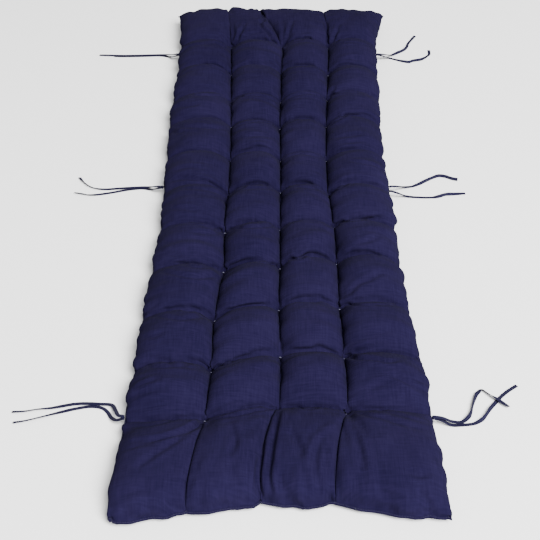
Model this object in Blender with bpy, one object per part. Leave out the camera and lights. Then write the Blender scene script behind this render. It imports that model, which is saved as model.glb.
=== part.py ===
"""Tufted sun lounger cushion: one fibre-filled body and twelve flat tape ties.

Metres, +Z up. The cushion lies on its back on the plane z = 0, centred on the origin, with its
length along Y. The head end is at +Y and the foot end at -Y.
"""
import math

import bpy
import bmesh
from mathutils import Vector

# Overall size of the cushion
LENGTH = 1.900
WIDTH = 0.600
CROWN = 0.080

# The seam round the edge: a flat welt where the two panels are sewn together
SEAM_HEIGHT = 0.022
HEAD_SEAM_HEIGHT = 0.038
FOOT_SEAM_HEIGHT = 0.015
WELT_DEPTH = 0.005
WELT_THICKNESS = 0.004

# Stitched tufts and the valleys that run between them
TUFT_TOP = 0.026
TUFT_UNDERSIDE = 0.013
VALLEY_RISE = 0.012
HEAD_VALLEY_RISE = 0.036
FOOT_VALLEY_RISE = 0.026
ROW_CREASE_SHARE = 0.40
UNDERSIDE_SHARE = 0.25
UNDERSIDE_FLAT_FROM = 0.55
SIDE_SCALLOP = 0.003
EAR_DRAW_IN = -0.003
END_SCALLOP = 0.008
SCALLOP_FADE = 5

# Roundness of the filled panels: a higher power is a boxier roll
ACROSS_POWER = 2.6
ALONG_POWER = 3.2
END_POWER = 3.4
ROUND_ROOT = 0.55

# Ties: a strip of the cover cloth, folded and stitched flat
TAPE_WIDTH = 0.008
TAPE_THICKNESS = 0.0018
TOUCH_GAP = 0.0003
TIE_POINTS = 22

# Where the grid is finer, as shares of one panel and of one row
ACROSS_STATIONS = (0.0, 0.05, 0.15, 0.32, 0.55, 0.78, 0.92)
ROW_STATIONS = (0.0, 0.10, 0.30, 0.60, 0.87)
HEAD_STATIONS = (0.0, 0.06, 0.16, 0.34, 0.60, 0.86)
FOOT_STATIONS = (0.0, 0.14, 0.40, 0.66, 0.84, 0.94)

# The lie of the tufting, a row for each line across the cushion from head to foot:
# the left edge, the three tufts and the right edge, each as x and y
TUFT_ROWS = (
    # left edge         left tuft           middle tuft         right tuft          right edge
    ((-0.294, 0.947), (-0.155, 0.940), (-0.068, 0.940), (0.127, 0.922), (0.294, 0.940)),
    ((-0.280, 0.755), (-0.140, 0.754), (0.003, 0.753), (0.137, 0.749), (0.270, 0.750)),
    ((-0.277, 0.606), (-0.135, 0.604), (0.003, 0.605), (0.132, 0.593), (0.264, 0.596)),
    ((-0.282, 0.455), (-0.130, 0.456), (0.002, 0.452), (0.125, 0.455), (0.259, 0.450)),
    ((-0.281, 0.322), (-0.126, 0.327), (0.000, 0.317), (0.119, 0.324), (0.254, 0.320)),
    ((-0.276, 0.165), (-0.121, 0.165), (0.002, 0.163), (0.114, 0.161), (0.252, 0.160)),
    ((-0.272, 0.015), (-0.122, 0.015), (0.002, 0.026), (0.114, 0.011), (0.258, 0.014)),
    ((-0.268, -0.138), (-0.125, -0.136), (0.001, -0.125), (0.122, -0.120), (0.258, -0.125)),
    ((-0.276, -0.284), (-0.121, -0.283), (0.001, -0.270), (0.125, -0.253), (0.261, -0.262)),
    ((-0.282, -0.440), (-0.134, -0.444), (-0.001, -0.409), (0.125, -0.410), (0.268, -0.415)),
    ((-0.283, -0.592), (-0.133, -0.591), (0.002, -0.554), (0.129, -0.556), (0.277, -0.565)),
    ((-0.289, -0.735), (-0.139, -0.732), (-0.001, -0.699), (0.128, -0.707), (0.285, -0.716)),
    ((-0.293, -0.946), (-0.163, -0.932), (-0.030, -0.916), (0.100, -0.916), (0.294, -0.946)),
)
LAST_ROW = len(TUFT_ROWS) - 1
PANELS = len(TUFT_ROWS[0]) - 1

# Each tie's route on the ground from the welt outwards: x, y, rise above what it lies on, and
# how far the tape leans from lying flat, in degrees
TIE_ROUTES = {
    "tie_head_left_upper": (
        (-0.2870, 0.743, 0.0225, 0), (-0.305, 0.747, 0.0180, 0), (-0.325, 0.768, 0.0065, 0),
        (-0.348, 0.776, 0.0026, 0), (-0.385, 0.775, 0.0026, 0), (-0.422, 0.774, 0.0026, 0),
        (-0.459, 0.774, 0.0026, 0), (-0.496, 0.778, 0.0020, 0), (-0.524, 0.783, 0.0000, 0)),
    "tie_head_left_lower": (
        (-0.2870, 0.743, 0.0195, 0), (-0.305, 0.747, 0.0120, 0), (-0.322, 0.766, 0.0015, 0),
        (-0.348, 0.775, 0.0000, 0), (-0.385, 0.774, 0.0000, 0), (-0.422, 0.773, 0.0000, 0),
        (-0.455, 0.773, 0.0000, 0), (-0.480, 0.775, 0.0000, 0)),
    "tie_head_right_upper": (
        (0.2770, 0.728, 0.0225, 0), (0.297, 0.735, 0.0170, 0), (0.318, 0.754, 0.0045, 0),
        (0.336, 0.771, 0.0000, 40), (0.350, 0.781, 0.0000, 65), (0.361, 0.793, 0.0000, 60),
        (0.369, 0.811, 0.0000, 30), (0.373, 0.830, 0.0000, 0), (0.383, 0.852, 0.0000, 0),
        (0.398, 0.880, 0.0000, 10)),
    "tie_head_right_lower": (
        (0.2770, 0.728, 0.0195, 0), (0.297, 0.733, 0.0120, 0), (0.312, 0.743, 0.0015, 0),
        (0.327, 0.737, 0.0000, 0), (0.346, 0.725, 0.0000, 20), (0.366, 0.716, 0.0000, 50),
        (0.378, 0.722, 0.0000, 75), (0.391, 0.726, 0.0000, 70), (0.404, 0.732, 0.0000, 45),
        (0.418, 0.749, 0.0000, 0), (0.429, 0.766, 0.0000, 0), (0.430, 0.790, 0.0000, 0)),
    "tie_middle_left_upper": (
        (-0.2842, 0.064, 0.0225, 0), (-0.300, 0.072, 0.0175, 0), (-0.317, 0.087, 0.0060, 0),
        (-0.338, 0.092, 0.0026, 0), (-0.367, 0.090, 0.0026, 0), (-0.397, 0.089, 0.0014, 0),
        (-0.420, 0.088, 0.0000, 0), (-0.442, 0.089, 0.0000, 20), (-0.462, 0.096, 0.0000, 50),
        (-0.479, 0.113, 0.0000, 60), (-0.495, 0.139, 0.0000, 20)),
    "tie_middle_left_lower": (
        (-0.2842, 0.064, 0.0195, 0), (-0.300, 0.071, 0.0120, 0), (-0.315, 0.084, 0.0015, 0),
        (-0.336, 0.090, 0.0000, 0), (-0.361, 0.087, 0.0000, 0), (-0.381, 0.082, 0.0000, 0),
        (-0.410, 0.073, 0.0000, 0), (-0.438, 0.066, 0.0000, 0), (-0.460, 0.063, 0.0000, 20),
        (-0.478, 0.065, 0.0000, 55), (-0.498, 0.072, 0.0000, 40)),
    "tie_middle_right_upper": (
        (0.2662, 0.056, 0.0225, 0), (0.285, 0.064, 0.0165, 0), (0.303, 0.080, 0.0040, 0),
        (0.322, 0.088, 0.0000, 0), (0.340, 0.097, 0.0000, 30), (0.357, 0.109, 0.0000, 60),
        (0.374, 0.121, 0.0000, 70), (0.390, 0.130, 0.0000, 50), (0.406, 0.126, 0.0000, 65),
        (0.420, 0.117, 0.0000, 70), (0.434, 0.112, 0.0000, 60)),
    "tie_middle_right_lower": (
        (0.2655, 0.038, 0.0210, 0), (0.285, 0.037, 0.0145, 0), (0.302, 0.043, 0.0030, 0),
        (0.324, 0.042, 0.0000, 0), (0.346, 0.040, 0.0000, 0), (0.366, 0.040, 0.0000, 0),
        (0.383, 0.042, 0.0000, 40), (0.398, 0.048, 0.0000, 75), (0.416, 0.051, 0.0000, 35),
        (0.446, 0.056, 0.0000, 0)),
    "tie_foot_left_upper": (
        (-0.2978, -0.712, 0.0225, 0), (-0.3065, -0.706, 0.0195, 0), (-0.314, -0.685, 0.0110, 0),
        (-0.324, -0.664, 0.0050, 0), (-0.345, -0.659, 0.0026, 0), (-0.372, -0.657, 0.0026, 0),
        (-0.396, -0.658, 0.0026, 0), (-0.420, -0.662, 0.0012, 0), (-0.442, -0.667, 0.0000, 15),
        (-0.468, -0.671, 0.0000, 35), (-0.492, -0.676, 0.0000, 30), (-0.516, -0.677, 0.0000, 20)),
    "tie_foot_left_lower": (
        (-0.2967, -0.715, 0.0195, 0), (-0.310, -0.712, 0.0120, 0), (-0.322, -0.696, 0.0030, 0),
        (-0.331, -0.679, 0.0000, 0), (-0.344, -0.667, 0.0000, 0), (-0.366, -0.663, 0.0000, 0),
        (-0.392, -0.668, 0.0000, 0), (-0.414, -0.675, 0.0000, 0), (-0.437, -0.684, 0.0000, 20),
        (-0.466, -0.695, 0.0000, 35), (-0.488, -0.702, 0.0000, 30), (-0.509, -0.706, 0.0000, 20)),
    "tie_foot_right_upper": (
        (0.2917, -0.719, 0.0225, 0), (0.309, -0.718, 0.0180, 0), (0.327, -0.716, 0.0070, 0),
        (0.346, -0.714, 0.0030, 0), (0.361, -0.701, 0.0020, 35), (0.368, -0.686, 0.0000, 65),
        (0.373, -0.668, 0.0000, 70), (0.379, -0.650, 0.0000, 50), (0.386, -0.634, 0.0000, 20),
        (0.396, -0.625, 0.0000, -35), (0.407, -0.638, 0.0005, -55), (0.419, -0.652, 0.0045, -20),
        (0.428, -0.662, 0.0050, 0), (0.441, -0.674, 0.0020, -30)),
    "tie_foot_right_lower": (
        (0.2917, -0.719, 0.0195, 0), (0.309, -0.719, 0.0125, 0), (0.326, -0.720, 0.0015, 0),
        (0.346, -0.719, 0.0000, 0), (0.368, -0.716, 0.0000, 0), (0.385, -0.707, 0.0000, 30),
        (0.395, -0.695, 0.0000, 60), (0.404, -0.680, 0.0000, 50), (0.417, -0.661, 0.0000, 15),
        (0.430, -0.644, 0.0000, 0), (0.447, -0.627, 0.0000, 0), (0.466, -0.612, 0.0000, 0)),
}


def clear_scene():
    for obj in list(bpy.data.objects):
        bpy.data.objects.remove(obj)


def cloth_material(name, colour, roughness):
    material = bpy.data.materials.new(name)
    material.use_nodes = True
    shader = material.node_tree.nodes["Principled BSDF"]
    shader.inputs["Base Color"].default_value = (*colour, 1.0)
    shader.inputs["Roughness"].default_value = roughness
    shader.inputs["Metallic"].default_value = 0.0
    return material


def smooth_curve(points, at):
    """Catmull-Rom through tuples of numbers; at runs from 0 to the number of spans."""
    last = len(points) - 1
    span = min(int(at), last - 1)
    f = at - span
    before, start, end, after = (points[min(max(span + k, 0), last)] for k in (-1, 0, 1, 2))
    return tuple(
        0.5 * (2 * b + (c - a) * f + (2 * a - 5 * b + 4 * c - d) * f * f
               + (3 * b - a - 3 * c + d) * f ** 3)
        for a, b, c, d in zip(before, start, end, after)
    )


def bulge(share, power):
    """0 at both sides of a panel and 1 in the middle, as a stuffed roll stands."""
    return (1.0 - min(1.0, abs(2.0 * share - 1.0)) ** power) ** ROUND_ROOT


def panel_place(across, along):
    """The place in plan of a point on the tufting net, with the scallops of the edge."""
    panel = min(int(across), PANELS - 1)
    f = across - panel
    left, right = (smooth_curve([row[line] for row in TUFT_ROWS], along)
                   for line in (panel, panel + 1))
    x = left[0] + (right[0] - left[0]) * f
    y = left[1] + (right[1] - left[1]) * f
    side = 2.0 * across / PANELS - 1.0
    scallop = EAR_DRAW_IN if along < 1.0 or along > LAST_ROW - 1 else SIDE_SCALLOP
    x += scallop * side ** SCALLOP_FADE * math.sin(math.pi * (along % 1.0))
    toward_end = 1.0 - 2.0 * along / LAST_ROW
    y += END_SCALLOP * toward_end ** (3 * SCALLOP_FADE) * math.sin(math.pi * f)
    return x, y


def row_share(along):
    """How full the filling is along the cushion: full in a cell, less on a row of tufts."""
    cell = min(int(along), LAST_ROW - 1)
    f = along - cell
    if cell not in (0, LAST_ROW - 1):
        return 1.0 - ROW_CREASE_SHARE * (1.0 - bulge(f, ALONG_POWER))
    from_end = f if cell == 0 else 1.0 - f
    crease = 1.0 - bulge(max(0.5, from_end), ALONG_POWER)
    return bulge(from_end / 2.0, END_POWER) * (1.0 - ROW_CREASE_SHARE * crease)


def seam_height(along):
    """The welt lies low along the sides, lower at the foot and higher at the plump head."""
    if along < 1.0:
        return SEAM_HEIGHT + (HEAD_SEAM_HEIGHT - SEAM_HEIGHT) * (1.0 - along) ** 2
    if along > LAST_ROW - 1:
        return SEAM_HEIGHT + (FOOT_SEAM_HEIGHT - SEAM_HEIGHT) * (along - LAST_ROW + 1) ** 2
    return SEAM_HEIGHT


def valley_height(line, along, tuft_height, rises, seam):
    """The height of the cover on one of the five lines that run from head to foot."""
    if line in (0, PANELS):
        return seam
    cell = min(int(along), LAST_ROW - 1)
    f = along - cell
    rise, head_rise, foot_rise = rises
    if cell == 0:
        return seam + (tuft_height - seam) * f + head_rise * math.sin(math.pi * f)
    if cell == LAST_ROW - 1:
        return tuft_height + (seam - tuft_height) * f + foot_rise * math.sin(math.pi * f)
    return tuft_height + rise * (1.0 - (2.0 * f - 1.0) ** 2)


def cover_heights(across, along):
    """(top, underside) of the cover at a point on the tufting net."""
    panel = min(int(across), PANELS - 1)
    f = across - panel
    ease = f * f * (3.0 - 2.0 * f)
    fullness = bulge(f, ACROSS_POWER) * row_share(along)

    def low(tuft_height, rises, seam):
        a = valley_height(panel, along, tuft_height, rises, seam)
        b = valley_height(panel + 1, along, tuft_height, rises, seam)
        return a + (b - a) * ease

    seam = seam_height(along)
    half_welt = WELT_THICKNESS / 2.0
    rises = (VALLEY_RISE, HEAD_VALLEY_RISE, FOOT_VALLEY_RISE)
    top = low(TUFT_TOP, rises, seam + half_welt)
    top += (CROWN - top) * fullness
    drops = [-rise * UNDERSIDE_SHARE for rise in rises]
    under = low(TUFT_UNDERSIDE, drops, seam - half_welt)
    under *= max(0.0, 1.0 - fullness / UNDERSIDE_FLAT_FROM)
    return top, under


def stations():
    """Net coordinates across and along; None stands for the outer edge of the welt."""
    across = [panel + f for panel in range(PANELS) for f in ACROSS_STATIONS] + [PANELS]
    along = list(HEAD_STATIONS)
    along += [row + f for row in range(1, LAST_ROW - 1) for f in ROW_STATIONS]
    along += [LAST_ROW - 1 + f for f in FOOT_STATIONS] + [LAST_ROW]
    return [None, *across, None], [None, *along, None]


def net_coordinate(values, number):
    """The coordinate of a station, and which way the welt stands out from it."""
    if values[number] is not None:
        return values[number], 0
    return (values[1], -1) if number == 0 else (values[-2], 1)


def cover_panel(mesh, upper):
    """One panel of the cover, shaped on the tufting net, with its half of the welt."""
    across, along = stations()
    made = bmesh.ops.create_grid(
        mesh, x_segments=len(across) - 1, y_segments=len(along) - 1, size=0.5
    )
    for vertex in made["verts"]:
        column = round((vertex.co.x + 0.5) * (len(across) - 1))
        row = round((0.5 - vertex.co.y) * (len(along) - 1))
        s, out_x = net_coordinate(across, column)
        t, out_y = net_coordinate(along, row)
        x, y = panel_place(s, t)
        z = cover_heights(s, t)[0 if upper else 1]
        vertex.co = Vector((x + WELT_DEPTH * out_x, y - WELT_DEPTH * out_y, z))
    if not upper:
        faces = [face for face in mesh.faces if face.verts[0] in set(made["verts"])]
        bmesh.ops.reverse_faces(mesh, faces=faces)


def fit_to_size(mesh):
    """Centre the body on the origin, stand it on z = 0 and bring it to its overall size."""
    for axis, size, rests in ((0, WIDTH, False), (1, LENGTH, False), (2, CROWN, True)):
        low = min(vertex.co[axis] for vertex in mesh.verts)
        high = max(vertex.co[axis] for vertex in mesh.verts)
        fixed = low if rests else (low + high) / 2.0
        for vertex in mesh.verts:
            vertex.co[axis] = (vertex.co[axis] - fixed) * size / (high - low)


def build_cushion(collection, material):
    mesh = bmesh.new()
    cover_panel(mesh, upper=False)
    cover_panel(mesh, upper=True)
    rim = [edge for edge in mesh.edges if edge.is_boundary]
    bmesh.ops.bridge_loops(mesh, edges=rim)
    bmesh.ops.recalc_face_normals(mesh, faces=mesh.faces)
    fit_to_size(mesh)
    data = bpy.data.meshes.new("cushion")
    mesh.to_mesh(data)
    mesh.free()
    data.shade_smooth()
    data.materials.append(material)
    cushion = bpy.data.objects.new("cushion", data)
    collection.objects.link(cushion)
    return cushion


def build_tie(collection, name, route, material):
    """A flat tape along a smooth curve through its route, a stadium in section."""
    curve = bpy.data.curves.new(name, "CURVE")
    curve.dimensions = "3D"
    curve.twist_mode = "Z_UP"
    curve.bevel_mode = "ROUND"
    curve.bevel_depth = TAPE_THICKNESS / 2.0
    curve.extrude = (TAPE_WIDTH - TAPE_THICKNESS) / 2.0
    curve.bevel_resolution = 0
    curve.use_fill_caps = True
    spline = curve.splines.new("POLY")
    spline.points.add(TIE_POINTS - 1)
    for number, point in enumerate(spline.points):
        x, y, rise, lean = smooth_curve(route, (len(route) - 1) * number / (TIE_POINTS - 1))
        lean = math.radians(lean)
        clear = (TAPE_WIDTH * abs(math.sin(lean)) + TAPE_THICKNESS * math.cos(lean)) / 2.0
        point.co = (x, y, max(0.0, rise) + clear + TOUCH_GAP, 1.0)
        point.tilt = math.pi / 2.0 + lean
    curve.materials.append(material)
    tie = bpy.data.objects.new(name, curve)
    collection.objects.link(tie)
    return tie


def main():
    clear_scene()
    collection = bpy.data.collections.new("sun_lounger_cushion")
    bpy.context.scene.collection.children.link(collection)
    cover = cloth_material("navy_cover_cloth", (0.020, 0.020, 0.062), 0.85)
    tape = cloth_material("navy_tie_tape", (0.015, 0.015, 0.048), 0.80)
    build_cushion(collection, cover)
    for name, route in TIE_ROUTES.items():
        build_tie(collection, name, route, tape)


main()
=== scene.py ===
import math
import random
import time

import bpy
import numpy as np
from mathutils import Matrix, Vector
from mathutils.bvhtree import BVHTree


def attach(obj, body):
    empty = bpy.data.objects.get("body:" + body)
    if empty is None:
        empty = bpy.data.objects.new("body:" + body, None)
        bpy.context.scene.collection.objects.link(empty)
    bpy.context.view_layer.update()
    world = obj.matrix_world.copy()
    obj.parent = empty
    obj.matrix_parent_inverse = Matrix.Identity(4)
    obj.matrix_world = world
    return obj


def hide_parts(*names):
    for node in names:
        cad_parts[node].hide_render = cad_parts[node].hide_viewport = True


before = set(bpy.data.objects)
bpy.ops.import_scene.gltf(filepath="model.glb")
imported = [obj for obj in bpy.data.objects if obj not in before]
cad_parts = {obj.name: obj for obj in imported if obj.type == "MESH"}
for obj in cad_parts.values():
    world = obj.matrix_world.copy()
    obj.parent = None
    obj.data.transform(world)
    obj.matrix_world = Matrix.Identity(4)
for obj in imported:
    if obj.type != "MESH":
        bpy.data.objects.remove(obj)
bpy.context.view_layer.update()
startTime = time.time()
dice = random.Random(11)


def report(stage):
    print("%5.1f s  %s" % (time.time() - startTime, stage))


# camera: where it looks from, round a point on the ground
lookAt = {"lens": 79.0, "sensor": 36.0, "target": (-0.0214, -0.2356, 0.0), "distance": 2.6315,
          "azimuth": 1.20, "elevation": 38.0, "roll": -1.21, "photoPixels": 540, "farthest": 50.0}


def addCamera():
    az, el = math.radians(lookAt["azimuth"]), math.radians(lookAt["elevation"])
    data = bpy.data.cameras.new("camera")
    data.lens = lookAt["lens"]
    data.sensor_width = lookAt["sensor"]
    data.clip_end = lookAt["farthest"]
    cam = bpy.data.objects.new("camera", data)
    turn = (Matrix.Rotation(az, 4, "Z") @ Matrix.Rotation(math.pi / 2 - el, 4, "X")
            @ Matrix.Rotation(math.radians(lookAt["roll"]), 4, "Z"))
    back = Matrix.Translation(turn @ Vector((0.0, 0.0, lookAt["distance"])))
    place = Matrix.Translation(lookAt["target"]) @ back @ turn
    cam.matrix_world = place
    bpy.context.scene.collection.objects.link(cam)
    bpy.context.scene.camera = cam
    return place


camPlace = addCamera()


def spline(points, at):
    last = len(points) - 1
    span = min(int(at), last - 1)
    f = at - span
    before, start, end, after = (points[min(max(span + k, 0), last)] for k in (-1, 0, 1, 2))
    return [0.5 * (2 * b + (c - a) * f + (2 * a - 5 * b + 4 * c - d) * f * f
                   + (3 * b - a - 3 * c + d) * f ** 3)
            for a, b, c, d in zip(before, start, end, after)]


def meshObject(name, points, faces, smooth=True):
    data = bpy.data.meshes.new(name)
    data.from_pydata([tuple(p) for p in points], [], faces)
    data.polygons.foreach_set("use_smooth", [smooth] * len(faces))
    obj = bpy.data.objects.new(name, data)
    bpy.context.scene.collection.objects.link(obj)
    return obj


def unit(v):
    return v / np.maximum(np.linalg.norm(v, axis=-1, keepdims=True), 1e-9)


# ties: the length of each and its route, whose points have x, y, how high the tape lies and how far
# it leans, in degrees, and end early where the tape lies level or flat on the floor
tieRoutes = {
    "tie_head_left_upper": (0.256, (
        (-0.287, 0.743, 0.0225), (-0.305, 0.747, 0.018), (-0.325, 0.768, 0.0065),
        (-0.348, 0.776, 0.0026), (-0.385, 0.775, 0.0026), (-0.422, 0.774, 0.0026),
        (-0.459, 0.774, 0.0026), (-0.496, 0.778, 0.002), (-0.524, 0.783))),
    "tie_head_left_lower": (0.212, (
        (-0.287, 0.743, 0.0195), (-0.305, 0.747, 0.012), (-0.322, 0.766, 0.0015),
        (-0.348, 0.775), (-0.385, 0.774), (-0.422, 0.773), (-0.455, 0.773), (-0.48, 0.775))),
    "tie_head_right_upper": (0.211, (
        (0.277, 0.728, 0.0225), (0.297, 0.735, 0.017), (0.318, 0.754, 0.0045),
        (0.336, 0.771, 0, 40), (0.35, 0.781, 0, 65), (0.361, 0.793, 0, 60),
        (0.369, 0.811, 0, 30), (0.373, 0.83), (0.383, 0.852), (0.398, 0.88, 0, 10))),
    "tie_head_right_lower": (0.217, (
        (0.277, 0.728, 0.0195), (0.297, 0.733, 0.012), (0.312, 0.743, 0.0015), (0.327, 0.737),
        (0.346, 0.725, 0, 20), (0.366, 0.716, 0, 50), (0.378, 0.722, 0, 75),
        (0.391, 0.726, 0, 70), (0.404, 0.732, 0, 45), (0.418, 0.749), (0.429, 0.766), (0.43, 0.79))),
    "tie_middle_left_upper": (0.251, (
        (-0.2842, 0.064, 0.0225), (-0.3, 0.072, 0.0175), (-0.317, 0.087, 0.006),
        (-0.338, 0.092, 0.0026), (-0.367, 0.09, 0.0026), (-0.397, 0.089, 0.0014),
        (-0.42, 0.088), (-0.442, 0.089, 0, 20), (-0.462, 0.096, 0, 50), (-0.479, 0.113, 0, 60),
        (-0.495, 0.139, 0, 20))),
    "tie_middle_left_lower": (0.234, (
        (-0.2842, 0.064, 0.0195), (-0.3, 0.071, 0.012), (-0.315, 0.084, 0.0015),
        (-0.336, 0.09), (-0.361, 0.087), (-0.381, 0.082), (-0.41, 0.073), (-0.438, 0.066),
        (-0.46, 0.063, 0, 20), (-0.478, 0.065, 0, 55), (-0.498, 0.072, 0, 40))),
    "tie_middle_right_upper": (0.202, (
        (0.2662, 0.056, 0.0225), (0.285, 0.064, 0.0165), (0.303, 0.08, 0.004), (0.322, 0.088),
        (0.34, 0.097, 0, 30), (0.357, 0.109, 0, 60), (0.374, 0.121, 0, 70), (0.39, 0.13, 0, 50),
        (0.406, 0.126, 0, 65), (0.42, 0.117, 0, 70), (0.434, 0.112, 0, 60))),
    "tie_middle_right_lower": (0.193, (
        (0.2655, 0.038, 0.021), (0.285, 0.037, 0.0145), (0.302, 0.043, 0.003), (0.324, 0.042),
        (0.346, 0.04), (0.366, 0.04), (0.383, 0.042, 0, 40), (0.398, 0.048, 0, 75),
        (0.416, 0.051, 0, 35), (0.446, 0.056))),
    "tie_foot_left_upper": (0.258, (
        (-0.2978, -0.712, 0.0225), (-0.3065, -0.706, 0.0195), (-0.314, -0.685, 0.011),
        (-0.324, -0.664, 0.005), (-0.345, -0.659, 0.0026), (-0.372, -0.657, 0.0026),
        (-0.396, -0.658, 0.0026), (-0.42, -0.662, 0.0012), (-0.442, -0.667, 0, 15),
        (-0.468, -0.671, 0, 35), (-0.492, -0.676, 0, 30), (-0.516, -0.677, 0, 20))),
    "tie_foot_left_lower": (0.252, (
        (-0.2967, -0.715, 0.0195), (-0.31, -0.712, 0.012), (-0.322, -0.696, 0.003),
        (-0.331, -0.679), (-0.344, -0.667), (-0.366, -0.663), (-0.392, -0.668), (-0.414, -0.675),
        (-0.437, -0.684, 0, 20), (-0.466, -0.695, 0, 35), (-0.488, -0.702, 0, 30),
        (-0.509, -0.706, 0, 20))),
    "tie_foot_right_upper": (0.236, (
        (0.2917, -0.719, 0.0225), (0.309, -0.718, 0.018), (0.327, -0.716, 0.007),
        (0.346, -0.714, 0.003), (0.361, -0.701, 0.002, 35), (0.368, -0.686, 0, 65),
        (0.373, -0.668, 0, 70), (0.379, -0.65, 0, 50), (0.386, -0.634, 0, 20),
        (0.396, -0.625, 0, -35), (0.407, -0.638, 0.0005, -55), (0.419, -0.652, 0.0045, -20),
        (0.428, -0.662, 0.005), (0.441, -0.674, 0.002, -30))),
    "tie_foot_right_lower": (0.231, (
        (0.2917, -0.719, 0.0195), (0.309, -0.719, 0.0125), (0.326, -0.72, 0.0015),
        (0.346, -0.719), (0.368, -0.716), (0.385, -0.707, 0, 30), (0.395, -0.695, 0, 60),
        (0.404, -0.68, 0, 50), (0.417, -0.661, 0, 15), (0.43, -0.644), (0.447, -0.627),
        (0.466, -0.612))),
}
tape = {
    "width": 0.008, "cadThickness": 0.0018, "gap": 0.0003, "thickness": 0.0014,
    "steps": 84, "intoSeam": 0.004, "seamRise": 0.0217,
    # half of the section, as shares of half the width and half the thickness
    "section": ((-1.0, 0.0), (-0.94, 0.70), (-0.72, 1.0), (-0.30, 0.95), (-0.09, 0.62),
                (0.09, 0.62), (0.30, 0.95), (0.72, 1.0), (0.94, 0.70)),
    "unevenWidth": 0.05, "stitchPitch": 0.0042, "stitchLength": 0.0029, "threadWidth": 0.0006,
    "stitchDepth": 0.36, "stitchLift": 0.0002,
    # loose threads at the cut end: how many, how long, and how far they start in and stray
    "fringe": 7, "fringeLength": 0.0022, "shortest": 0.4, "fringeWidth": 0.0003, "fringeSpread": 0.9,
    "fringeRoot": 0.0004, "fringeStray": 0.0006,
}
# a stitch: its thickness along its length, and its flattened section
stitchShape = {"along": ((0.0, 0.4), (0.25, 1.0), (0.75, 1.0), (1.0, 0.4)),
               "section": ((-0.5, 0.0), (0.0, 0.42), (0.5, 0.0), (0.0, -0.42))}


def tieLine(route):
    # centre points, with the sideways and upward directions of the tape at each
    route = [point + (0.0,) * (4 - len(point)) for point in route]
    line, leans = [], []
    for k in range(tape["steps"] + 1):
        x, y, rise, lean = spline(route, (len(route) - 1) * k / tape["steps"])
        lean = math.radians(lean)
        clear = tape["width"] * abs(math.sin(lean)) + tape["cadThickness"] * math.cos(lean)
        line.append((x, y, max(0.0, rise) + clear / 2.0 + tape["gap"]))
        leans.append(lean)
    line = np.array(line)
    inward = unit(line[0] - line[2])
    root = line[0] + inward * tape["intoSeam"]
    root[2] = tape["seamRise"] + 0.5 * (line[0][2] - tape["seamRise"])
    line = np.vstack([root, line])
    leans = np.array([leans[0]] + leans)[:, None]
    run = unit(np.gradient(line, axis=0))
    side = unit(np.cross(run, (0.0, 0.0, 1.0)))
    up = np.cross(side, run)
    wide = side * np.cos(leans) - up * np.sin(leans)
    return line, wide, np.cross(wide, run)


def runAlong(line):
    return np.concatenate([[0.0], np.cumsum(np.linalg.norm(np.diff(line, axis=0), axis=1))])


def stitchSpans(line, made, start, spare=0.0):
    # where each stitch starts and ends along a line, and the nearest point of the line
    reach = runAlong(line)
    at = start * made["stitchPitch"]
    while at + made["stitchLength"] < reach[-1] - spare:
        ends = [np.array([np.interp(d, reach, line[:, c]) for c in range(3)])
                for d in (at, at + made["stitchLength"])]
        yield ends[0], ends[1], int(np.searchsorted(reach, at))
        at += made["stitchPitch"]


def addStitch(points, faces, start, end, wide, up, width, lift):
    # a flattened thread that dips into the cloth at both ends
    first = len(points)
    thinnest = stitchShape["along"][0][1]
    for share, size in stitchShape["along"]:
        middle = start + (end - start) * share + up * lift * (size - thinnest)
        for a, b in stitchShape["section"]:
            points.append(middle + (wide * a + up * b) * width * size)
    for k in range(3):
        for m in range(4):
            a = first + 4 * k + m
            b = first + 4 * k + (m + 1) % 4
            faces.append((a, b, b + 4, a + 4))
    faces.append((first, first + 3, first + 2, first + 1))
    faces.append((first + 12, first + 13, first + 14, first + 15))


def makeTie(name, length, route):
    line, wide, up = tieLine(route)
    shape = list(tape["section"])
    shape += [(-a, -b) for a, b in shape]
    count = len(shape)
    points, faces = [], []
    half = tape["width"] / 2.0
    for k, middle in enumerate(line):
        loose = 1.0 - tape["unevenWidth"] * dice.random()
        for a, b in shape:
            points.append(middle + wide[k] * a * half * loose + up[k] * b * tape["thickness"] / 2.0)
    for k in range(len(line) - 1):
        for m in range(count):
            a, b = k * count + m, k * count + (m + 1) % count
            faces.append((a, b, b + count, a + count))
    faces.append(tuple(range(count))[::-1])
    faces.append(tuple(range(len(points) - count, len(points))))
    cloth = len(faces)
    # the stitch line down the middle, on both faces of the tape
    for start, end, k in stitchSpans(line, tape, 2.0, tape["stitchPitch"]):
        for sign in (1.0, -1.0):
            off = up[k] * sign * tape["thickness"] * tape["stitchDepth"]
            addStitch(points, faces, start + off, end + off, wide[k], up[k] * sign,
                      tape["threadWidth"], tape["stitchLift"])
    tip, ahead = line[-1], unit(line[-1] - line[-3])
    for n in range(tape["fringe"]):
        a = 2.0 * (n + 0.5) / tape["fringe"] - 1.0
        start = tip + wide[-1] * a * half * tape["fringeSpread"]
        end = start + ahead * tape["fringeLength"] * dice.uniform(tape["shortest"], 1.0)
        end = end + wide[-1] * dice.uniform(-tape["fringeStray"], tape["fringeStray"])
        addStitch(points, faces, start - ahead * tape["fringeRoot"], end, wide[-1], up[-1],
                  tape["fringeWidth"], 0.0)
    obj = meshObject(name + "_tape", points, faces)
    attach(obj, "root")
    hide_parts(name)
    tuple(line[1])
    [tuple(p) for p in line]
    return obj, cloth


ties = [makeTie(name, length, route) for name, (length, route) in tieRoutes.items()]
report("%d ties" % len(ties))

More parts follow.
